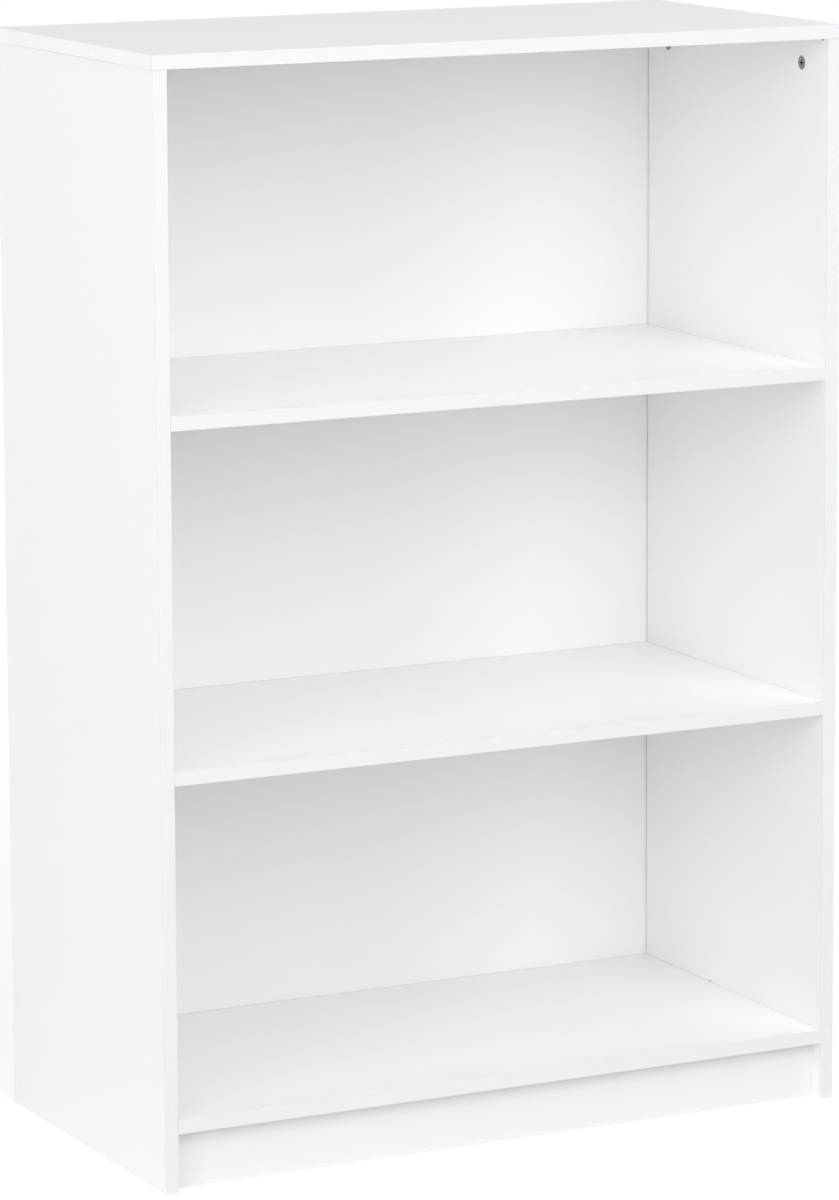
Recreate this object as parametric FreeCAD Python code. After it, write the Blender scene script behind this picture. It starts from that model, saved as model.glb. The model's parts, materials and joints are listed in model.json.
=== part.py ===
import FreeCAD, Part
import math
import os

# A knock-down bookcase of white faced board: two sides, a top laid over them, three fixed shelves,
# a recessed plinth and a thin back in grooves. Cam locks, bolts and dowels hold the boards together.
# Millimetres. X to the right, Y to the rear, Z up. The origin is on the floor, under the middle of the top.

Vector = FreeCAD.Vector
RIGHT = Vector(1, 0, 0)
LEFT = Vector(-1, 0, 0)
REAR = Vector(0, 1, 0)
FRONT = Vector(0, -1, 0)
UP = Vector(0, 0, 1)
DOWN = Vector(0, 0, -1)
FULL_TURN = 2 * math.pi
QUARTER_TURN_DEGREES = 90

# Overall sizes
overall_width = 800.0
overall_depth = 400.0
overall_height = 1170.0
board_thickness = 15.0
compartments = 3

# Top, plinth and edging
top_side_overhang = 2.0
top_front_overhang = 1.0
plinth_height = 62.0
plinth_recess = 16.0
edging_thickness = 1.0
edging_round = 0.6

# Back panel and the grooves that hold it
back_thickness = 3.0
back_rear_inset = 7.0
groove_depth = 7.0
groove_play = 1.0
back_side_play = 0.5

# Nails, driven through the back panel into the shelves
nail_diameter = 1.6
nail_length = 20.0
nail_head_diameter = 4.5
nail_head_height = 0.9
nail_place_shares = (-0.4, 0.0, 0.4)

# Places of the fittings on the boards
cam_distance = 29.0
fitting_inset = 55.0
dowel_step = 32.0
plinth_dowel_shares = (0.25, 0.75)

# Cam bolt: screwed into one board, its round head held by the cam in the other
bolt_thread_diameter = 4.9
bolt_thread_length = 11.0
bolt_collar_length = 2.0
bolt_shank_diameter = 5.0
bolt_neck_diameter = 4.0
bolt_head_diameter = 6.8
bolt_head_face_share = 0.6
bolt_tip_length = 1.5
bolt_hole_play = 0.6
collar_play = 0.2
pilot_play = 0.05
pilot_spare = 0.6

# Cam: a zinc disc with an off-centre pocket that draws the bolt head in as the disc turns
cam_diameter = 14.7
cam_bore_play = 0.15
cam_bore_spare = 0.3
cam_sink = 0.3
cam_floor = 1.2
cam_throw = 0.75
head_play = 0.12
pocket_height_play = 0.2
window_play = 0.3
neck_play = 0.3
shank_play = 0.7
recess_length = 8.4
recess_width = 1.7

# Dowels
dowel_diameter = 8.0
dowel_length = 30.0
dowel_in_face = 10.0
dowel_chamfer = 1.0
dowel_hole_play = 0.08
dowel_hole_spare = 0.5

# The many small turned pieces and their holes have flat sides, to keep the model light
fitting_sides = 8
nail_sides = 6
cam_sides = 20
pocket_sides = 12

# How far a cutting shape runs past the surface that it opens
overrun = 1.0

# Places worked out from the sizes above
top_right_x = overall_width / 2
outer_x = top_right_x - top_side_overhang
inner_x = outer_x - board_thickness
rear_y = overall_depth / 2
top_front_y = rear_y - overall_depth
front_y = top_front_y + top_front_overhang
back_rear_y = rear_y - back_rear_inset
back_front_y = back_rear_y - back_thickness
ceiling_z = overall_height - board_thickness
clear_height = (ceiling_z - plinth_height - compartments * board_thickness) / compartments
shelf_pitch = clear_height + board_thickness
plinth_front_y = front_y + plinth_recess
plinth_middle_y = plinth_front_y + board_thickness / 2
bolt_rows_y = {"front": front_y + fitting_inset, "rear": rear_y - fitting_inset}
dowel_rows_y = (bolt_rows_y["front"] + dowel_step, bolt_rows_y["rear"] - dowel_step)
half_board = board_thickness / 2
head_radius = bolt_head_diameter / 2
pocket_half_height = head_radius + pocket_height_play
cam_top_z = half_board - cam_sink
cam_bottom_z = -pocket_half_height - cam_floor

SIDES = {"left": LEFT, "right": RIGHT}
SHELF_LEVELS = {"bottom_shelf": 0, "lower_shelf": 1, "upper_shelf": 2}


def box(low, high):
    """A block from its lowest to its highest corner."""
    size = high - low
    return Part.makeBox(size.x, size.y, size.z, low)


def ring(x, radius, sides):
    """Corners of a regular polygon about the X axis. A ring of no radius is a single point."""
    if radius == 0:
        return [Vector(x, 0, 0)] * sides
    angles = [FULL_TURN * (side + 0.5) / sides for side in range(sides)]
    return [Vector(x, radius * math.cos(angle), radius * math.sin(angle)) for angle in angles]


def turned(outline, sides):
    """A turned piece with flat sides about the X axis, its corners on the outline of (x, radius) points."""
    rings = [ring(x, radius, sides) for x, radius in outline]
    faces = []
    for near, far in zip(rings, rings[1:]):
        for side in range(sides):
            following = (side + 1) % sides
            path = [near[side], near[following], far[following], far[side]]
            loop = [point for place, point in enumerate(path) if not point.isEqual(path[place - 1], 0)]
            faces.append(Part.Face(Part.makePolygon(loop + loop[:1])))
    solid = Part.Solid(Part.makeShell(faces))
    if solid.Volume < 0:
        solid.reverse()
    return solid.removeSplitter()


def bored(x, length, diameter, sides):
    """A straight cutting rod along X, its flats on the stated diameter."""
    radius = diameter / 2 / math.cos(FULL_TURN / 2 / sides)
    return turned([(x, 0), (x, radius), (x + length, radius), (x + length, 0)], sides)


def upright(shape):
    """A shape drawn along X, turned to stand along Z."""
    return shape.rotate(Vector(), REAR, -QUARTER_TURN_DEGREES)


class Joint:
    """One place where a fitting crosses from the face of one board into the end of another.

    Local X runs from the meeting plane into the end, and local Z is the outward normal of the face
    that a cam is let into. The local origin is on the fitting's axis, in the meeting plane.
    """

    def __init__(self, name, point, into, outward, face_board, end_board):
        self.name = name
        self.face_board = face_board
        self.end_board = end_board
        turn = FreeCAD.Rotation(into, outward.cross(into), outward, "ZXY")
        self.placement = FreeCAD.Placement(point, turn)

    def place(self, shape):
        """The shape, drawn about the local origin, moved to this joint."""
        moved = shape.copy()
        moved.Placement = self.placement.multiply(moved.Placement)
        return moved


def cam_bolt():
    """Bolt: pointed threaded end, collar against the board's face, shank, neck and round head."""
    thread, shank, neck = bolt_thread_diameter / 2, bolt_shank_diameter / 2, bolt_neck_diameter / 2
    collar = head_radius + bolt_hole_play - collar_play
    neck_start = cam_distance - cam_diameter / 2 - shank_play
    head_face = head_radius * bolt_head_face_share
    head_reach = math.sqrt(head_radius ** 2 - head_face ** 2)
    return turned([
        (-bolt_thread_length, 0), (bolt_tip_length - bolt_thread_length, thread), (0, thread), (0, collar),
        (bolt_collar_length, collar), (bolt_collar_length, shank), (neck_start, shank), (neck_start, neck),
        (cam_distance - head_reach, neck), (cam_distance - head_face, head_reach),
        (cam_distance + head_face, head_reach), (cam_distance + head_reach, head_face),
        (cam_distance + head_reach, 0)], fitting_sides)


def cam():
    """Cam at rest, locked: the entry window faces away from the bolt and the pocket is tight on its head.

    The pocket is a round hole that lies off the cam's axis, towards the window, by the throw. The neck
    slot runs from the bolt round to the window on one side, so the cam lets go after half a turn.
    """
    cam_radius = cam_diameter / 2
    outline = [(cam_bottom_z, 0), (cam_bottom_z, cam_radius), (cam_top_z, cam_radius), (cam_top_z, 0)]
    disc = upright(turned(outline, cam_sides))
    pocket_diameter = bolt_head_diameter + 2 * (head_play + cam_throw)
    pocket = upright(bored(-pocket_half_height, 2 * pocket_half_height, pocket_diameter, pocket_sides))
    pocket.translate(Vector(cam_throw, 0, 0))
    reach = cam_radius + overrun
    window_half = head_radius + window_play
    window = box(Vector(0, -window_half, -pocket_half_height),
                 Vector(reach, window_half, pocket_half_height))
    neck_half = bolt_neck_diameter / 2 + neck_play
    slot = box(Vector(-reach, -neck_half, -neck_half), Vector(reach, reach, neck_half))
    recess_floor = pocket_half_height + cam_floor
    arm = box(Vector(-recess_length / 2, -recess_width / 2, recess_floor),
              Vector(recess_length / 2, recess_width / 2, cam_top_z + overrun))
    cross_arm = arm.copy().rotate(Vector(), UP, QUARTER_TURN_DEGREES)
    made = disc.cut([pocket, window, slot, arm, cross_arm]).removeSplitter()
    made.translate(Vector(cam_distance, 0, 0))
    return made


def dowel():
    """Wooden dowel with chamfered ends, part in the face and the rest in the end."""
    start, end = -dowel_in_face, dowel_length - dowel_in_face
    radius = dowel_diameter / 2
    tip = radius - dowel_chamfer
    return turned([
        (start, 0), (start, tip), (start + dowel_chamfer, radius), (end - dowel_chamfer, radius),
        (end, tip), (end, 0)], fitting_sides)


def nail():
    """Flat-headed nail along local X, its head's underside at the origin and its point ahead."""
    radius, head = nail_diameter / 2, nail_head_diameter / 2
    return turned([
        (-nail_head_height, 0), (-nail_head_height, head), (0, head), (0, radius),
        (nail_length - nail_diameter, radius), (nail_length, 0)], nail_sides)


def bolt_cuts():
    """What a cam joint takes out of the two boards: (from the face, from the end)."""
    pilot_depth = bolt_thread_length + pilot_spare
    pilot = bored(-pilot_depth, pilot_depth + overrun, bolt_thread_diameter + 2 * pilot_play, fitting_sides)
    shaft = bored(-overrun, cam_distance + overrun, bolt_head_diameter + 2 * bolt_hole_play, fitting_sides)
    bore_floor = cam_bottom_z - cam_bore_spare
    bore = Part.makeCylinder(cam_diameter / 2 + cam_bore_play, half_board + overrun - bore_floor,
                             Vector(cam_distance, 0, bore_floor))
    return [pilot], [shaft, bore]


def dowel_cuts():
    """What a dowel takes out of the two boards: (from the face, from the end)."""
    diameter = dowel_diameter + 2 * dowel_hole_play
    face_depth = dowel_in_face + dowel_hole_spare
    end_depth = dowel_length - dowel_in_face + dowel_hole_spare
    in_face = bored(-face_depth, face_depth + overrun, diameter, fitting_sides)
    in_end = bored(-overrun, end_depth + overrun, diameter, fitting_sides)
    return [in_face], [in_end]


def shelf_middle_z(level):
    """Height of the middle of a shelf's thickness."""
    return plinth_height + level * shelf_pitch + half_board


def joint_places():
    """Every cam joint and every dowel joint, each grouped by the board that it holds."""
    bolts = {group: [] for group in ("top", *SHELF_LEVELS)}
    dowels = {group: [] for group in (*bolts, "plinth")}
    for side, outward in SIDES.items():
        panel = side + "_side_panel"
        inward = -outward
        middle_x = outward.x * (outer_x - half_board)
        face_x = outward.x * inner_x
        held = [("top", middle_x, ceiling_z, DOWN, inward, "top_panel", panel)]
        for shelf, level in SHELF_LEVELS.items():
            held.append((shelf, face_x, shelf_middle_z(level), inward, DOWN, panel, shelf))
        for group, x, z, into, faces, face_board, end_board in held:
            for row, y in bolt_rows_y.items():
                name = f"{group}_{side}_{row}_cam"
                bolts[group].append(Joint(name, Vector(x, y, z), into, faces, face_board, end_board))
            for y in dowel_rows_y:
                dowels[group].append(Joint("dowel", Vector(x, y, z), into, faces, face_board, end_board))
        for share in plinth_dowel_shares:
            place = Vector(face_x, plinth_middle_y, share * plinth_height)
            dowels["plinth"].append(Joint("dowel", place, inward, REAR, panel, "plinth_board"))
    return bolts, dowels


def nail_places():
    """Places of the nails: through the back panel, forward into the rear edge of each shelf."""
    return [Joint("nail", Vector(share * overall_width, back_rear_y, shelf_middle_z(level)), FRONT, UP,
                  "back_panel", shelf)
            for shelf, level in SHELF_LEVELS.items() for share in nail_place_shares]


def board_blocks():
    """Outer block of every board, edging included."""
    blocks = {
        "top_panel": (Vector(-top_right_x, top_front_y, ceiling_z),
                      Vector(top_right_x, rear_y, overall_height)),
        "left_side_panel": (Vector(-outer_x, front_y, 0), Vector(-inner_x, rear_y, ceiling_z)),
        "right_side_panel": (Vector(inner_x, front_y, 0), Vector(outer_x, rear_y, ceiling_z)),
        "plinth_board": (Vector(-inner_x, plinth_front_y, 0),
                         Vector(inner_x, plinth_front_y + board_thickness, plinth_height)),
    }
    for shelf, level in SHELF_LEVELS.items():
        under = shelf_middle_z(level) - half_board
        blocks[shelf] = (Vector(-inner_x, front_y, under),
                         Vector(inner_x, back_front_y, under + board_thickness))
    back_half = inner_x + groove_depth - back_side_play
    blocks["back_panel"] = (Vector(-back_half, back_front_y, plinth_height),
                            Vector(back_half, back_rear_y, ceiling_z))
    return blocks


def rounded_strip(low, high, outward):
    """Edging strip whose two long corners on the outer face are rounded."""
    strip = box(low, high)
    reach = [(edge.CenterOfMass - strip.CenterOfMass).dot(outward) for edge in strip.Edges]
    outer = [edge for edge, far in zip(strip.Edges, reach) if far > edging_thickness / 4]
    longest = max(edge.Length for edge in outer)
    corners = [edge for edge in outer if edge.Length > longest - edging_thickness]
    return strip.makeFillet(edging_round, corners)


def cores_and_edging():
    """Each board's block with its edging taken off, and the edging strips themselves."""
    fronts = {"left_side_panel": "left_side_front_edging", "right_side_panel": "right_side_front_edging",
              "top_panel": "top_front_edging"}
    fronts.update({shelf: shelf + "_edging" for shelf in SHELF_LEVELS})
    cores, strips = {}, {}
    for name, (low, high) in board_blocks().items():
        if name in fronts:
            strip_rear = Vector(high.x, low.y + edging_thickness, high.z)
            strips[fronts[name]] = rounded_strip(low, strip_rear, FRONT)
            low = Vector(low.x, strip_rear.y, low.z)
        if name == "top_panel":
            strip_right = Vector(low.x + edging_thickness, high.y, high.z)
            strip_left = Vector(high.x - edging_thickness, low.y, low.z)
            strips["top_left_edging"] = rounded_strip(low, strip_right, LEFT)
            strips["top_right_edging"] = rounded_strip(strip_left, high, RIGHT)
            low, high = Vector(strip_right.x, low.y, low.z), Vector(strip_left.x, high.y, high.z)
        cores[name] = box(low, high)
    return cores, strips


def groove(outward):
    """Groove for the back panel in the side that lies outward, along its whole height."""
    mouth, floor = sorted((outward.x * (inner_x - overrun), outward.x * (inner_x + groove_depth)))
    return box(Vector(mouth, back_front_y - groove_play, -overrun),
               Vector(floor, back_rear_y, ceiling_z + overrun))


def build():
    """Every node of the bookcase: its name and its shape."""
    cores, nodes = cores_and_edging()
    cuts = {name: [] for name in cores}
    for side, outward in SIDES.items():
        cuts[side + "_side_panel"].append(groove(outward))

    bolts, dowels = joint_places()
    fittings = ((bolts, bolt_cuts(), cam_bolt(), "cam_bolts"), (dowels, dowel_cuts(), dowel(), "dowels"))
    for groups, (face_cuts, end_cuts), fitting, plural in fittings:
        for group, joints in groups.items():
            nodes[f"{group}_{plural}"] = Part.makeCompound([joint.place(fitting) for joint in joints])
            for joint in joints:
                cuts[joint.face_board] += [joint.place(cut) for cut in face_cuts]
                cuts[joint.end_board] += [joint.place(cut) for cut in end_cuts]

    lock = cam()
    for joints in bolts.values():
        nodes.update({joint.name: joint.place(lock) for joint in joints})
    nodes["back_panel_nails"] = Part.makeCompound([joint.place(nail()) for joint in nail_places()])

    for name, core in cores.items():
        nodes[name] = core.cut(cuts[name]) if cuts[name] else core
    return nodes


os.makedirs("parts", exist_ok=True)
for node_name, node_shape in build().items():
    node_shape.exportStep(f"parts/{node_name}.step")
    print(node_name, len(node_shape.Solids), round(node_shape.Volume), node_shape.isValid())
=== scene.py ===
"""Looks of a white knock-down bookcase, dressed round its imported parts.

Metres, +Z up, the open front towards -Y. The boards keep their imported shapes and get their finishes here.
Cams, bolts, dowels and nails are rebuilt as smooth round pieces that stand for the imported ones.
"""
import json
import math

import bpy
import numpy as np
from mathutils import Matrix, Vector


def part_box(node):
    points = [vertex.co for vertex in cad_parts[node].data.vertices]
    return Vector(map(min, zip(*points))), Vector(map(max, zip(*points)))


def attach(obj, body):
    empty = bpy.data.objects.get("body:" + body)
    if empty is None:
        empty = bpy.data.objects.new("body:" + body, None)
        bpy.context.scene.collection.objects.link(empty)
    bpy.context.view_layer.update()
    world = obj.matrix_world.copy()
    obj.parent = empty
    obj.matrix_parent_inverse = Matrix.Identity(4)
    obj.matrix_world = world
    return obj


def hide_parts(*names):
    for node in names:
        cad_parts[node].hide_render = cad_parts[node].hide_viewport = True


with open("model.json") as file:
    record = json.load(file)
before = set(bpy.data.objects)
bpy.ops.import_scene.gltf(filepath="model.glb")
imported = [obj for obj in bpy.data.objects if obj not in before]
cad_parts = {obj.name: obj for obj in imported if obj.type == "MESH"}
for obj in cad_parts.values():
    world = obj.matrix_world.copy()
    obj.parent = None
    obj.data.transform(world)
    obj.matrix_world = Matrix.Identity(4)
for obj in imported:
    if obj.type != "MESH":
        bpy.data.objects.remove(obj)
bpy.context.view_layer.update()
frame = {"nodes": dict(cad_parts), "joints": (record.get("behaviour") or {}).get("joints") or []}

# Picture and camera, fitted to the straight edges of the bookcase. Pixels, metres and radians
PICTURE_SIZE = (839, 1200)
OPTICAL_CENTRE = (480.0, 480.0)
FOCAL_PIXELS = 5563.1
CAMERA_PLACE = (-2.6585, -5.2393, 1.6357)
CAMERA_YAW = 0.4802
CAMERA_PITCH = 0.1606
CAMERA_ROLL = 0.0022
SENSOR_WIDTH = 36.0

# Studio: a pale floor, a white surround and softboxes. The floor has the tone that lights the bookcase, the
# tone and the glow that are seen, and the distances between which it fades into the surround. Each softbox
# has its direction from the bookcase, in degrees round from the front towards the left and above the
# horizon, then the level that it gives a white face turned to it, and its width as a share of its distance
FLOOR_HALF = 6.0
FLOOR_LIT = 0.75
FLOOR_SEEN = 0.3
FLOOR_GLOW = 0.8
FLOOR_FADE = (1.0, 4.0)
AMBIENT = 0.02
LAMP_AIM = (0.0, 0.0, 0.6)
LAMP_DISTANCE = 8.0
LAMP_COLOUR = (0.991, 0.991, 1.026)
SOFTBOXES = {
    "left_front": (60, 8, 0.235, 0.4),
    "front_low": (30, 8, 0.11, 0.8),
    "front_high": (0, 30, 0.59, 0.8),
    "right_front": (-60, 8, 0.195, 0.8),
    "overhead": (30, 55, 0.42, 0.8),
    "left_rear": (107, 8, 0.405, 0.8),
    "right_rear": (240, 8, 0.555, 0.8),
}

# Whites of the board faces, the top, the edging, the plinth and the front of the back panel. The top, the
# edging and the plinth are the board's own white made darker as painted shade, to even out how strongly
# the lamps and the floor light them
BOARD_WHITE = (0.942, 0.942, 0.932)
TOP_SHADED_WHITE = (0.904, 0.909, 0.905)
EDGING_SHADED_WHITE = (0.762, 0.762, 0.755)
PLINTH_SHADED_WHITE = (0.790, 0.790, 0.783)
BACK_WHITE = (0.943, 0.943, 0.933)

# Noise textures: detail and roughness, and the middle of their range
PLAIN_NOISE = (2.0, 0.5)
RAGGED_NOISE = (3.0, 0.7)
WAVY_NOISE = (4.0, 0.5)
GRAIN_NOISE = (4.0, 0.6)
FIBRE_NOISE = (6.0, 0.7)
NOISE_MIDDLE = 0.5

# Faced board: the skin, its stipple and clouds, the chips that a saw left and a line of painted shade in the
# open seam of a butt joint. Each finish has its least roughness and how far its clouds raise that
SKIN = 0.00025
SKIN_SHADE_SHARES = (0.985, 1.01)
SKIN_CLOUD_SHARE = 0.5
SKIN_ROUGHNESS = (0.29, 0.10)
RAW_ROUGHNESS = 0.9
STIPPLE_SCALE = 1300.0
STIPPLE_DEPTH = 0.00006
CLOUD_SCALE = 9.0
CHIP_SCALE = 420.0
CHIP_WIDTH = 0.003
CHIP_SHARE = 0.58
CHIP_STRETCH = 2.6
CHIP_DEPTH = 0.0004
CHIP_TONES = [(0.0, (0.16, 0.10, 0.055, 1.0)), (0.35, (0.36, 0.25, 0.145, 1.0)),
              (0.75, (0.50, 0.38, 0.24, 1.0)), (1.0, (0.64, 0.52, 0.36, 1.0))]
# Painted shade in a butt joint's seam: its width, the share of it left at the front, its noise scale and tone
SEAM_SHADE_WIDTH = 0.0009
SEAM_SHADE_FRONT_SHARE = 0.15
SEAM_SHADE_SCALE = 14.0
SEAM_SHADE_TONE = (0.24, 0.22, 0.20)

# Edging: streaks along its length and the line of glue behind it
EDGING_SHADE_SHARES = (0.99, 1.01)
EDGING_STREAK_SHARE = 0.5
EDGING_ROUGHNESS = (0.30, 0.10)
STREAK_STRETCH = 0.03
STREAK_DEPTH = 0.00004
GLUE_LINE = 0.0002
GLUE_TONE = (0.74, 0.73, 0.71)

# Small marks, and one spot of painted shade: place, radius and tone
MARKS_AND_SHADE_SPOTS = {
    # The first spot on the right side panel is painted shade of the gap under the top's front corner, edged
    # like a chip; the rest are specks and a tick
    "right_side_panel": [((0.383, -0.187, 1.1573), 0.0042, 0.03), ((0.383, 0.042, 0.0778), 0.0013, 0.35)],
    "bottom_shelf": [((0.383, 0.042, 0.0770), 0.0013, 0.35)],
    "top_left_edging": [((-0.400, -0.047, 1.1640), 0.0020, 0.85)],
}
MARK_SCALE = 300.0

# Back panel: smooth paint in front, pressed fibres behind
PAINT = 0.0002
PAINT_SHADE_SHARES = (0.98, 1.01)
PAINT_CLOUD_SHARE = 0.6
PAINT_ROUGHNESS = (0.40, 0.10)
PEEL_SCALE = 650.0
FIBRE_SCALE = 260.0
FIBRE_STRETCH = 0.35
FIBRE_DEPTH = 0.0001
FIBRE_SHARE = 0.7
FIBRE_ROUGHNESS = 0.8
PATCH_SCALE = 18.0
FIBRE_TONES = [(0.30, (0.15, 0.082, 0.040, 1.0)), (0.50, (0.29, 0.175, 0.092, 1.0)),
               (0.70, (0.42, 0.275, 0.155, 1.0))]

# Metals: darkest and lightest tone, grain scale, least roughness and grain depth. Their blotches are coarser
METALS = {
    "cam_zinc": ((0.20, 0.190, 0.177), (0.54, 0.520, 0.490), 2500.0, 0.36, 0.00005),
    # The second metal is painted shade: the cam's zinc made nearly black inside its cross recess
    "cam_recess_shade": ((0.03, 0.028, 0.026), (0.12, 0.115, 0.105), 2500.0, 0.50, 0.00005),
    "bolt_steel": ((0.50, 0.51, 0.54), (0.68, 0.69, 0.72), 3000.0, 0.28, 0.00002),
    "nail_steel": ((0.40, 0.40, 0.41), (0.60, 0.60, 0.61), 3000.0, 0.28, 0.00002),
}
BLOTCH_SCALE_SHARE = 0.2
BLOTCH_SHARE = 0.6
BLOTCH_CONTRAST = 2.0
METAL_SPREAD = 0.2

# Dowel wood
GRAIN_SCALE = 1800.0
GRAIN_STRETCH = 0.05
GRAIN_DEPTH = 0.0001
WOOD_ROUGHNESS = 0.7
WOOD_TONES = [(0.3, (0.42, 0.27, 0.145, 1.0)), (0.5, (0.60, 0.43, 0.26, 1.0)),
              (0.7, (0.72, 0.56, 0.37, 1.0))]

# Cam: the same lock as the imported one, turned smooth
CAM_DIAMETER = 0.0147
CAM_TOP = 0.0072
CAM_BOTTOM = -0.0048
CAM_CHAMFER = 0.0004
CAM_THROW = 0.00075
CAM_CUT_OVERRUN = 0.001
POCKET_DIAMETER = 0.00854
POCKET_HALF = 0.0036
WINDOW_HALF = 0.0037
NECK_HALF = 0.0023
RECESS_LENGTH = 0.0084
RECESS_WIDTH = 0.0017
RECESS_FLOOR = 0.0048
RECESS_FLOOR_SHARE = 0.8
BOARD_HALF = 0.0075

# Cam bolt, along its axis from the face that it is screwed into
CAM_DISTANCE = 0.029
BOLT_TIP = -0.011
THREAD_RADIUS = 0.00245
THREAD_RIDGE = 0.0006
THREAD_PITCH = 0.0018
THREAD_ROWS = 90
TIP_SHARE = 0.3
COLLAR_RADIUS = 0.0038
COLLAR_LENGTH = 0.002
SHANK_RADIUS = 0.0025
NECK_START = 0.02095
NECK_RADIUS = 0.002
HEAD_RADIUS = 0.0034
HEAD_ROWS = 16

# Dowel and nail, with how many a group has along X, Y and Z
DOWEL_LENGTH = 0.030
DOWEL_RADIUS = 0.004
DOWEL_CHAMFER = 0.001
DOWEL_FLUTES = 18
FLUTE_SHARE = 0.05
DOWEL_COUNTS = (2, 2, 1)
PLINTH_DOWEL_COUNTS = (2, 1, 2)
NAIL_LENGTH = 0.020
NAIL_RADIUS = 0.0008
NAIL_HEAD_RADIUS = 0.00225
NAIL_HEAD_HEIGHT = 0.0009
NAIL_HEAD_EDGE = 0.0002
POINT_RADIUS = 0.00005
NAIL_COUNTS = (3, 1, 3)

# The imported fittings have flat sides, so their boxes are this share of their round size
OCTAGON_SHARE = math.cos(math.pi / 8)
HEXAGON_SHARE = math.cos(math.pi / 6)

# Points round a turned piece, the sharpest turn that is shaded smooth, a Mix node's colour sockets, the axes
ROUND = 64
SMOOTH_ANGLE = math.radians(35)
MIX_LOW, MIX_HIGH, MIX_RESULT = 6, 7, 2
X, Y, Z = range(3)


class Signal:
    """A socket of a material's nodes. Sums, products and comparisons of signals add Math nodes."""

    def __init__(self, tree, socket=None):
        self.tree = tree
        self.socket = socket

    def node(self, kind, settings=None, sockets=None, output=0):
        """Adds a node: its settings first, then each socket's value or link. Gives one of its outputs."""
        made = self.tree.nodes.new(kind)
        for name, setting in (settings or {}).items():
            if name == "stops":
                set_stops(made.color_ramp, setting)
            else:
                setattr(made, name, setting)
        for name, value in (sockets or {}).items():
            if isinstance(value, Signal):
                self.tree.links.new(value.socket, made.inputs[name])
            else:
                made.inputs[name].default_value = value
        return Signal(self.tree, made.outputs[output])

    def maths(self, operation, *values):
        return self.node("ShaderNodeMath", {"operation": operation}, dict(enumerate(values)))

    def split(self):
        """The three parts of a vector or a colour."""
        first = self.node("ShaderNodeSeparateXYZ", None, {0: self})
        return [Signal(self.tree, socket) for socket in first.socket.node.outputs]

    def mix(self, low, high):
        """Colour that goes from low to high as this signal goes from 0 to 1."""
        sockets = {0: self, MIX_LOW: low, MIX_HIGH: high}
        return self.node("ShaderNodeMix", {"data_type": "RGBA"}, sockets, MIX_RESULT)

    def __add__(self, other):
        return self.maths("ADD", self, other)

    def __sub__(self, other):
        return self.maths("SUBTRACT", self, other)

    def __rsub__(self, other):
        return self.maths("SUBTRACT", other, self)

    def __mul__(self, other):
        return self.maths("MULTIPLY", self, other)

    def __gt__(self, other):
        return self.maths("GREATER_THAN", self, other)

    def __lt__(self, other):
        return self.maths("LESS_THAN", self, other)

    def __abs__(self):
        return self.maths("ABSOLUTE", self)

    __radd__ = __add__
    __rmul__ = __mul__


def set_stops(ramp, stops):
    """Puts the ramp's colour stops at their places."""
    while len(ramp.elements) < len(stops):
        ramp.elements.new(1.0)
    for element, (place, colour) in zip(ramp.elements, stops):
        element.position = place
        element.color = colour


def begin(name):
    """A new material and its Object coordinates, from which its other nodes start."""
    material = bpy.data.materials.new(name)
    material.use_nodes = True
    return material, Signal(material.node_tree).node("ShaderNodeTexCoord", output="Object")


def dress(material, sockets):
    """Sets the shader's sockets, each to a value or to a signal."""
    shader = material.node_tree.nodes["Principled BSDF"]
    for name, value in sockets.items():
        if isinstance(value, Signal):
            material.node_tree.links.new(value.socket, shader.inputs[name])
        else:
            shader.inputs[name].default_value = value
    return material


def tone(colour, level=1.0):
    """A colour, or a grey, as a socket takes it, at a share of its brightness."""
    red, green, blue = colour if isinstance(colour, tuple) else (colour,) * 3
    return (red * level, green * level, blue * level, 1.0)


def noise(point, scale, character=PLAIN_NOISE):
    """Cloudy noise about 0.5, with its detail and roughness."""
    detail, roughness = character
    sockets = {"Vector": point, "Scale": scale, "Detail": detail, "Roughness": roughness}
    return point.node("ShaderNodeTexNoise", None, sockets)


def blend(first, second, share):
    """Sum of two signals that takes a share of the first one and the rest of the other."""
    return first * share + second * (1 - share)


def shaded(signal, white, shares):
    """A white that goes between two shares of its brightness as the signal goes from 0 to 1."""
    low, high = shares
    return signal.mix(tone(white, low), tone(white, high))


def graded(signal, stops):
    """Colour of a signal on a ramp of stops."""
    return signal.node("ShaderNodeValToRGB", {"stops": stops}, {0: signal})


def finer(point, axis, factor):
    """Coordinates in which a pattern is that much finer along one axis."""
    factors = [1.0, 1.0, 1.0]
    factors[axis] = factor
    return point.node("ShaderNodeMapping", None, {"Vector": point, "Scale": factors})


def bumped(height):
    """Normal of a surface raised by a height in metres."""
    return height.node("ShaderNodeBump", None, {"Strength": 1.0, "Distance": 1.0, "Height": height})


def from_edge(place, node, edges):
    """Distance from the nearest of a node's edges, each given by its axis and the sign of its side."""
    low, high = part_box(node)
    nearest = None
    for axis, sign in edges:
        distance = place[axis] - low[axis] if sign < 0 else high[axis] - place[axis]
        nearest = distance if nearest is None else nearest.maths("MINIMUM", nearest, distance)
    return nearest


def marked_and_shaded(point, node, colour):
    """The colour with a node's small marks and spots of painted shade on it, each a spot with a ragged
    outline.
    """
    for place, radius, shade in MARKS_AND_SHADE_SPOTS.get(node, ()):
        away = point.node("ShaderNodeVectorMath", {"operation": "DISTANCE"}, {0: point, 1: place}, "Value")
        spot = away < noise(point, MARK_SCALE) * (radius / NOISE_MIDDLE)
        colour = spot.mix(colour, tone(shade))
    return colour


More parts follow.
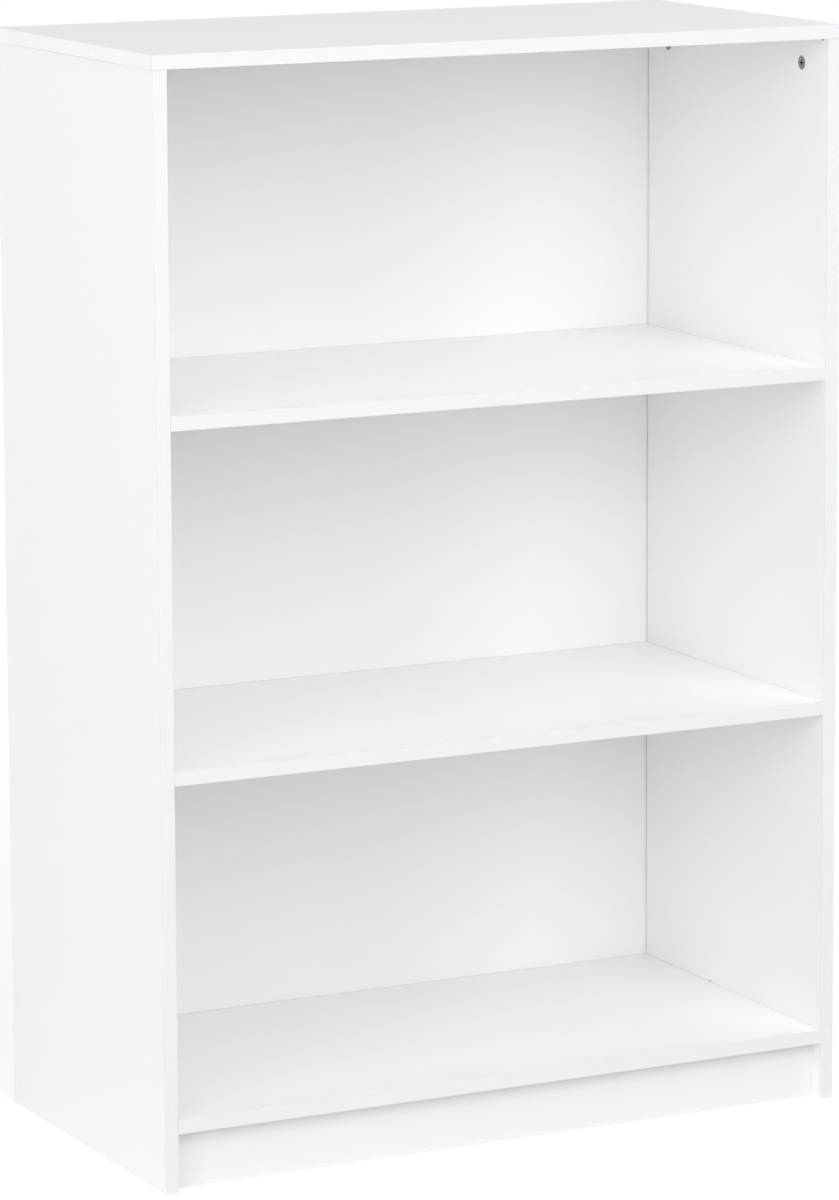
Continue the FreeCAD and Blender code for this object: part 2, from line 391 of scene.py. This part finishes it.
def faced_board(name, node, across, white=BOARD_WHITE, sawn=(), butted=(), front_share=1.0):
    """Particle board under a white faced skin.

    White and finely stippled within a skin's depth of either face. Deeper in, where it was sawn, grooved or
    drilled, it shows raw chips, which lie flat in the board. Here and there a sawn edge is chipped. Where
    the board butts on another one, a thin line of painted shade comes and goes in the seam, which narrows
    to a share at the front.
    """
    material, point = begin(name)
    low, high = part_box(node)
    place = point.split()
    middle, half = (low[across] + high[across]) / 2, (high[across] - low[across]) / 2
    whole = abs(place[across] - middle) > half - SKIN
    if sawn:
        ragged = noise(point, CHIP_SCALE, RAGGED_NOISE) - CHIP_SHARE
        whole = whole * (from_edge(place, node, sawn) > ragged * CHIP_WIDTH)

    stipple = noise(point, STIPPLE_SCALE)
    clouds = noise(point, CLOUD_SCALE)
    skin = shaded(blend(clouds, stipple, SKIN_CLOUD_SHARE), white, SKIN_SHADE_SHARES)
    if butted:
        rearward = (place[Y] - low[Y]) * (1 / (high[Y] - low[Y]))
        width = (rearward * (1 - front_share) + front_share) * SEAM_SHADE_WIDTH
        # Painted shade: a thin dark line along the butted edges, wider towards the rear, where the joint lies
        # in shade
        seam_shade = from_edge(place, node, butted) < noise(point, SEAM_SHADE_SCALE, WAVY_NOISE) * width
        skin = seam_shade.mix(skin, tone(SEAM_SHADE_TONE))
    skin = marked_and_shaded(point, node, skin)

    cells = {"Vector": finer(point, across, CHIP_STRETCH), "Scale": CHIP_SCALE}
    chip = point.node("ShaderNodeTexVoronoi", None, cells, "Color").split()[0]
    least, spread_up = SKIN_ROUGHNESS
    return dress(material, {
        "Base Color": whole.mix(graded(chip, CHIP_TONES), skin),
        "Roughness": whole * (clouds * spread_up + (least - RAW_ROUGHNESS)) + RAW_ROUGHNESS,
        "Normal": bumped(whole * stipple * STIPPLE_DEPTH + (1 - whole) * chip * CHIP_DEPTH)})


def edging_strip(name, node, axis, sign, white):
    """White plastic edging, slightly streaked along its length, with a line of glue at its inner face."""
    material, point = begin(name)
    low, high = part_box(node)
    glue = from_edge(point.split(), node, ((axis, sign),)) < GLUE_LINE
    length = max(range(3), key=lambda other: high[other] - low[other])
    streaks = noise(finer(point, length, STREAK_STRETCH), STIPPLE_SCALE)
    clouds = noise(point, CLOUD_SCALE)
    plastic = shaded(blend(streaks, clouds, EDGING_STREAK_SHARE), white, EDGING_SHADE_SHARES)
    least, spread_up = EDGING_ROUGHNESS
    return dress(material, {
        "Base Color": glue.mix(marked_and_shaded(point, node, plastic), tone(GLUE_TONE)),
        "Roughness": clouds * spread_up + least,
        "Normal": bumped(streaks * STREAK_DEPTH)})


def hardboard(name, node):
    """Thin hardboard: white paint with a slight orange peel in front, brown pressed fibres behind."""
    material, point = begin(name)
    low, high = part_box(node)
    painted = point.split()[Y] < low[Y] + PAINT
    peel = noise(point, PEEL_SCALE)
    clouds = noise(point, CLOUD_SCALE)
    paint = shaded(blend(clouds, peel, PAINT_CLOUD_SHARE), BACK_WHITE, PAINT_SHADE_SHARES)
    fibres = noise(finer(point, Z, FIBRE_STRETCH), FIBRE_SCALE, FIBRE_NOISE)
    patches = noise(point, PATCH_SCALE, WAVY_NOISE)
    least, spread_up = PAINT_ROUGHNESS
    return dress(material, {
        "Base Color": painted.mix(graded(blend(fibres, patches, FIBRE_SHARE), FIBRE_TONES), paint),
        "Roughness": painted * (clouds * spread_up + (least - FIBRE_ROUGHNESS)) + FIBRE_ROUGHNESS,
        "Normal": bumped(painted * peel * STIPPLE_DEPTH + (1 - painted) * fibres * FIBRE_DEPTH)})


def cast_metal(name):
    """Bare metal: blotchy tone, uneven gloss and a fine grain."""
    dark, bright, grain, least, depth = METALS[name]
    material, point = begin(name)
    blotches = noise(point, grain * BLOTCH_SCALE_SHARE, RAGGED_NOISE)
    fine = noise(point, grain)
    uneven = (blend(blotches, fine, BLOTCH_SHARE) - NOISE_MIDDLE) * BLOTCH_CONTRAST + NOISE_MIDDLE
    return dress(material, {
        "Base Color": uneven.mix(tone(dark), tone(bright)),
        "Metallic": 1.0,
        "Roughness": blotches * METAL_SPREAD + least,
        "Normal": bumped(fine * depth)})


def turned_wood(name, axis):
    """Hardwood dowel: streaks of grain along its axis."""
    material, point = begin(name)
    grain = noise(finer(point, axis, GRAIN_STRETCH), GRAIN_SCALE, GRAIN_NOISE)
    return dress(material, {
        "Base Color": graded(grain, WOOD_TONES),
        "Roughness": WOOD_ROUGHNESS,
        "Normal": bumped(grain * GRAIN_DEPTH)})


def skin_over(rings):
    """Closed skin over a stack of rings: point j of ring k joins point j + 1 and ring k + 1. Flat ends."""
    count, around = rings.shape[:2]
    here = np.arange(count * around).reshape(count, around)
    beside = np.roll(here, -1, axis=1)
    sides = np.stack([here[:-1], beside[:-1], beside[1:], here[1:]], -1).reshape(-1, 4)
    return rings.reshape(-1, 3), sides.tolist() + [here[0, ::-1].tolist(), here[-1].tolist()]


def turned(heights, radii):
    """Round piece about Z: ring k has every angle, at heights[k] and radii[k] or radii[k, angle]."""
    angle = np.linspace(0, 2 * math.pi, ROUND, endpoint=False)
    radius = np.broadcast_to(np.reshape(radii, (len(heights), -1)), (len(heights), ROUND))
    height = np.broadcast_to(np.reshape(heights, (-1, 1)), radius.shape)
    return skin_over(np.stack([radius * np.cos(angle), radius * np.sin(angle), height], -1))


def block(low, high):
    """Block between two corners: a square ring at each end of its height."""
    (x0, y0, z0), (x1, y1, z1) = low, high
    square = np.array([(x0, y0), (x1, y0), (x1, y1), (x0, y1)])
    return skin_over(np.stack([np.column_stack([square, np.full(len(square), z)]) for z in (z0, z1)]))


def cross(length, width, low, high, low_share):
    """Cross-shaped bit with a taper. A quarter has the two corners of an arm's end and an inner corner."""
    arm, side = length / 2, width / 2
    quarter = np.array([(arm, -side), (arm, side), (side, side)])
    quarters = [quarter]
    for turn in range(3):
        quarters.append(quarters[-1][:, ::-1] * (-1, 1))
    outline = np.concatenate(quarters)
    return skin_over(np.array([np.column_stack([outline * share, np.full(len(outline), height)])
                               for height, share in ((low, low_share), (high, 1.0))]))


def body_of(name, shape):
    """An object that holds a shape, not yet dressed."""
    points, faces = shape
    mesh = bpy.data.meshes.new(name)
    mesh.from_pydata(points.tolist(), [], faces)
    made = bpy.data.objects.new(name, mesh)
    bpy.context.scene.collection.objects.link(made)
    return made


def less(shape, *cutters):
    """The shape with every cutter taken out of it."""
    blank = body_of("blank", shape)
    tools = [body_of("tool", cutter) for cutter in cutters]
    for tool in tools:
        cut = blank.modifiers.new("cut", "BOOLEAN")
        cut.operation = "DIFFERENCE"
        cut.solver = "EXACT"
        cut.object = tool
    mesh = bpy.data.meshes.new_from_object(blank.evaluated_get(bpy.context.evaluated_depsgraph_get()))
    points = np.empty(len(mesh.vertices) * 3)
    mesh.vertices.foreach_get("co", points)
    faces = [list(polygon.vertices) for polygon in mesh.polygons]
    for used in (blank, *tools):
        bpy.data.objects.remove(used)
    return points.reshape(-1, 3), faces


def cam_shape():
    """Cam about Z, locked: X points away from its bolt. A disc with chamfered rims, an off-centre pocket,
    a window for the bolt's head, a slot for its neck and a cross recess for the driver."""
    radius = CAM_DIAMETER / 2
    disc = turned([CAM_BOTTOM, CAM_BOTTOM + CAM_CHAMFER, CAM_TOP - CAM_CHAMFER, CAM_TOP],
                  [radius - CAM_CHAMFER, radius, radius, radius - CAM_CHAMFER])
    points, faces = turned([-POCKET_HALF, POCKET_HALF], [POCKET_DIAMETER / 2] * 2)
    pocket = (points + (CAM_THROW, 0, 0), faces)
    reach = radius + CAM_CUT_OVERRUN
    window = block((0, -WINDOW_HALF, -POCKET_HALF), (reach, WINDOW_HALF, POCKET_HALF))
    slot = block((-reach, -NECK_HALF, -NECK_HALF), (reach, reach, NECK_HALF))
    recess = cross(RECESS_LENGTH, RECESS_WIDTH, RECESS_FLOOR, CAM_TOP + CAM_CUT_OVERRUN, RECESS_FLOOR_SHARE)
    return less(disc, pocket, window, slot, recess)


def recess_faces(shape):
    """1 for every face of a cam that lies in its cross recess, below its top, and 0 for the others: these get
    painted shade.
    """
    points, faces = shape
    away, height = np.hypot(points[:, X], points[:, Y]), points[:, Z]
    inside = (away < RECESS_LENGTH) & (height > (RECESS_FLOOR + POCKET_HALF) / 2)
    sunk = height < CAM_TOP - CAM_CHAMFER
    return [int(inside[face].all() and sunk[face].any()) for face in faces]


def bolt_shape():
    """Bolt along Z: a threaded end, a collar, a shank, a neck and a ball head.

    The thread's radius drops from its crest by twice the ridge times how far (height / pitch - share of a
    turn) is from the nearest whole number, and tapers over the first pitch. The ball's rings are at heights
    R sin t and radii R cos t.
    """
    turn_shares = np.linspace(0, 1, ROUND, endpoint=False)
    height = np.linspace(BOLT_TIP, 0, THREAD_ROWS)
    wave = height[:, None] / THREAD_PITCH - turn_shares
    ridged = THREAD_RADIUS - 2 * THREAD_RIDGE * np.abs(wave - np.round(wave))
    taper = np.clip((height - BOLT_TIP) / THREAD_PITCH, 0, 1)[:, None]
    thread = ridged * (TIP_SHARE + (1 - TIP_SHARE) * taper)
    latitude = np.linspace(-math.acos(NECK_RADIUS / HEAD_RADIUS), math.pi / 2, HEAD_ROWS, endpoint=False)
    body_heights = [0, COLLAR_LENGTH, COLLAR_LENGTH, NECK_START, NECK_START]
    body_radii = [COLLAR_RADIUS, COLLAR_RADIUS, SHANK_RADIUS, SHANK_RADIUS, NECK_RADIUS]
    heights = np.concatenate([height, body_heights, CAM_DISTANCE + HEAD_RADIUS * np.sin(latitude)])
    plain_radii = np.concatenate([body_radii, HEAD_RADIUS * np.cos(latitude)])
    radii = np.concatenate([thread, np.repeat(plain_radii[:, None], ROUND, 1)])
    return turned(heights, radii)


def dowel_shape():
    """Dowel about its middle: chamfered ends, and flutes where the radius dips with a cosine of the turn."""
    half = DOWEL_LENGTH / 2
    angle = np.linspace(0, 2 * math.pi, ROUND, endpoint=False)
    flutes = 1 - FLUTE_SHARE * ((1 + np.cos(DOWEL_FLUTES * angle)) / 2) ** 2
    tip = DOWEL_RADIUS - DOWEL_CHAMFER
    radii = np.array([tip, DOWEL_RADIUS, DOWEL_RADIUS, tip])[:, None] * flutes
    return turned([-half, DOWEL_CHAMFER - half, half - DOWEL_CHAMFER, half], radii)


def nail_shape():
    """Nail along Z: a flat head with a rounded rim below the origin, a shank and a point."""
    rim = NAIL_HEAD_RADIUS - NAIL_HEAD_EDGE
    shoulder = NAIL_LENGTH - 2 * NAIL_RADIUS
    heights = [-NAIL_HEAD_HEIGHT, NAIL_HEAD_EDGE - NAIL_HEAD_HEIGHT, 0, 0, shoulder, NAIL_LENGTH]
    radii = [rim, NAIL_HEAD_RADIUS, NAIL_HEAD_RADIUS, NAIL_RADIUS, NAIL_RADIUS, POINT_RADIUS]
    return turned(heights, radii)


def axes(along, beside):
    """Turn that lays a shape's Z along one direction and its X along another."""
    along, beside = np.array(along, float), np.array(beside, float)
    return np.column_stack([beside, np.cross(along, beside), along])


def piece(name, shape, places, finish, body, node):
    """Copies of a shape, each at a turn and a place: one piece on a body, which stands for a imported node."""
    points, faces = shape
    placed = np.concatenate([points @ turn.T + place for turn, place in places])
    starts = np.arange(len(places)) * len(points)
    copied = [(np.array(face) + start).tolist() for start in starts for face in faces]
    made = body_of(name, (placed, copied))
    made.data.shade_smooth()
    made.data.set_sharp_from_angle(angle=SMOOTH_ANGLE)
    made.data.materials.append(finish)
    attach(made, body)
    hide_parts(node)
    return made


def spread(node, half, counts):
    """Even places inside a node's box, drawn in by half a piece's size: so many along each axis."""
    low, high = (np.array(corner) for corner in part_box(node))
    lines = [np.linspace(low[a] + half[a], high[a] - half[a], counts[a]) if counts[a] > 1
             else [(low[a] + high[a]) / 2] for a in range(3)]
    return [np.array((x, y, z)) for x in lines[X] for y in lines[Y] for z in lines[Z]]


def make_fittings():
    """Cams on their joints, with a bolt for each, then the dowels and the nails."""
    cam, bolt, dowel, nail = cam_shape(), bolt_shape(), dowel_shape(), nail_shape()
    zinc, recess_shade, plated, steel = (cast_metal(name) for name in METALS)
    recessed = recess_faces(cam)
    wood = {axis: turned_wood("dowel_wood", axis) for axis in (X, Z)}

    bolts = {}
    for joint in frame["joints"]:
        name = joint["child"]
        outward = np.array(joint["axis"], float)
        centre = np.array(joint["pos_m"]) - BOARD_HALF * outward
        held_up = name.startswith("top")
        into = np.array((0, 0, -1.0) if held_up else (-np.sign(centre[X]), 0, 0))
        disc = piece(name + "_disc", cam, [(axes(outward, into), centre)], zinc, name, name)
        # The recess faces get the near-black metal of painted shade
        disc.data.materials.append(recess_shade)
        disc.data.polygons.foreach_set("material_index", recessed)
        group = name.split("_left")[0].split("_right")[0] + "_cam_bolts"
        bolts.setdefault(group, []).append((axes(into, outward), centre - CAM_DISTANCE * into))
    for group, places in bolts.items():
        piece(group + "_turned", bolt, places, plated, "carcass", group)

    flat = DOWEL_RADIUS * OCTAGON_SHARE
    for node in (name for name in frame["nodes"] if name.endswith("_dowels")):
        axis = Z if node.startswith("top") else X
        half = [flat] * 3
        half[axis] = DOWEL_LENGTH / 2
        counts = PLINTH_DOWEL_COUNTS if node.startswith("plinth") else DOWEL_COUNTS
        along, beside = np.eye(3)[axis], np.eye(3)[Y]
        places = [(axes(along, beside), place) for place in spread(node, half, counts)]
        piece(node + "_fluted", dowel, places, wood[axis], "carcass", node)

    half = (NAIL_HEAD_RADIUS * HEXAGON_SHARE, 0, NAIL_HEAD_RADIUS)
    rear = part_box("back_panel")[1][Y]
    places = [(axes((0, -1, 0), (1, 0, 0)), (place[X], rear, place[Z]))
              for place in spread("back_panel_nails", half, NAIL_COUNTS)]
    piece("back_panel_nails_round", nail, places, steel, "carcass", "back_panel_nails")


def make_camera():
    """Camera at the photo's standpoint. The lens shift moves its optical centre to the fitted pixel.

    The sensor's width lies along the longer side of the picture, its height.
    """
    forward = Vector((math.sin(CAMERA_YAW) * math.cos(CAMERA_PITCH),
                      math.cos(CAMERA_YAW) * math.cos(CAMERA_PITCH), -math.sin(CAMERA_PITCH)))
    level_right = Vector((math.cos(CAMERA_YAW), -math.sin(CAMERA_YAW), 0))
    level_up = level_right.cross(forward)
    right = math.cos(CAMERA_ROLL) * level_right - math.sin(CAMERA_ROLL) * level_up
    up = math.sin(CAMERA_ROLL) * level_right + math.cos(CAMERA_ROLL) * level_up
    data = bpy.data.cameras.new("camera")
    camera = bpy.data.objects.new("camera", data)
    bpy.context.scene.collection.objects.link(camera)
    turn = Matrix((right, up, -forward)).transposed().to_4x4()
    camera.matrix_world = Matrix.Translation(CAMERA_PLACE) @ turn
    width, height = PICTURE_SIZE
    data.sensor_width = SENSOR_WIDTH
    data.lens = FOCAL_PIXELS / height * SENSOR_WIDTH
    data.shift_x = (width / 2 - OPTICAL_CENTRE[X]) / height
    data.shift_y = (OPTICAL_CENTRE[Y] - height / 2) / height
    bpy.context.scene.camera = camera


def seen_rays(start):
    """1 for rays from the camera, also by way of gloss and glass, and 0 for rays that light the object."""
    camera, glossy, through = [start.node("ShaderNodeLightPath", output=path)
                               for path in ("Is Camera Ray", "Is Glossy Ray", "Is Transmission Ray")]
    return camera.maths("MAXIMUM", camera, glossy.maths("MAXIMUM", glossy, through))


def make_studio():
    """White surround, pale floor that keeps the object's shadow, and softboxes.

    A softbox of power P gives a white face at the distance d the level P / (pi d)**2.
    """
    scene = bpy.context.scene
    scene.view_settings.view_transform = "Standard"
    world = bpy.data.worlds.new("surround")
    world.use_nodes = True
    scene.world = world
    black, white = tone(0.0), tone(1.0)
    strength = seen_rays(Signal(world.node_tree)) * (1 - AMBIENT) + AMBIENT
    background = world.node_tree.nodes["Background"]
    background.inputs["Color"].default_value = white
    world.node_tree.links.new(strength.socket, background.inputs["Strength"])

    corners = np.array([(-1, -1, 0), (1, -1, 0), (1, 1, 0), (-1, 1, 0)]) * FLOOR_HALF
    floor = body_of("floor", (corners, [(0, 1, 2, 3)]))
    material, point = begin("floor_white")
    seen = seen_rays(point)
    away = point.node("ShaderNodeVectorMath", {"operation": "LENGTH"}, {0: point}, "Value")
    near, far = FLOOR_FADE
    faded = away.node("ShaderNodeMapRange", None, {"Value": away, "From Min": near, "From Max": far})
    floor.data.materials.append(dress(material, {
        "Base Color": seen.mix(tone(FLOOR_LIT), faded.mix(tone(FLOOR_SEEN), black)),
        "Emission Color": seen.mix(black, faded.mix(tone(FLOOR_GLOW), white)),
        "Emission Strength": 1.0, "Roughness": 1.0, "Specular IOR Level": 0.0}))

    for name, (azimuth, elevation, level, spread_share) in SOFTBOXES.items():
        round_angle, rise = math.radians(azimuth), math.radians(elevation)
        level_x, level_y = -math.sin(round_angle), -math.cos(round_angle)
        towards = Vector((level_x * math.cos(rise), level_y * math.cos(rise), math.sin(rise)))
        data = bpy.data.lights.new(name, "AREA")
        data.shape = "SQUARE"
        data.size = spread_share * LAMP_DISTANCE
        data.energy = level * (math.pi * LAMP_DISTANCE) ** 2
        data.color = LAMP_COLOUR
        lamp = bpy.data.objects.new(name, data)
        scene.collection.objects.link(lamp)
        lamp.location = Vector(LAMP_AIM) + LAMP_DISTANCE * towards
        lamp.rotation_euler = towards.to_track_quat("Z", "Y").to_euler()


def dress_boards():
    """Finishes of the boards, with the edges that were sawn and those that butt, edging and back panel."""
    side = {"across": X, "sawn": ((Z, -1), (Y, 1)), "butted": ((Z, 1),)}
    shelf = {"across": Z, "butted": ((X, -1), (X, 1), (Y, 1)), "front_share": SEAM_SHADE_FRONT_SHARE}
    # The top and the plinth take darker whites of painted shade
    finishes = {
        "left_side_panel": side,
        "right_side_panel": side,
        "top_panel": {"across": Z, "white": TOP_SHADED_WHITE, "sawn": ((Y, 1),)},
        "upper_shelf": shelf,
        "lower_shelf": shelf,
        "bottom_shelf": shelf,
        "plinth_board": {"across": Y, "white": PLINTH_SHADED_WHITE, "sawn": ((Z, -1),)},
    }
    for node, finish in finishes.items():
        coat(node, faced_board("white_board_" + node, node, **finish))
    # The front edging takes the darker white of painted shade; the top's end strips keep the board white
    end_strips = {"top_left_edging": (X, 1, BOARD_WHITE), "top_right_edging": (X, -1, BOARD_WHITE)}
    for node in (name for name in frame["nodes"] if name.endswith("_edging")):
        coat(node, edging_strip("white_" + node, node, *end_strips.get(node, (Y, 1, EDGING_SHADED_WHITE))))
    coat("back_panel", hardboard("back_hardboard", "back_panel"))


def coat(node, material):
    """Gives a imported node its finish."""
    slots = frame["nodes"][node].data.materials
    slots.clear()
    slots.append(material)


make_camera()
make_studio()
dress_boards()
make_fittings()
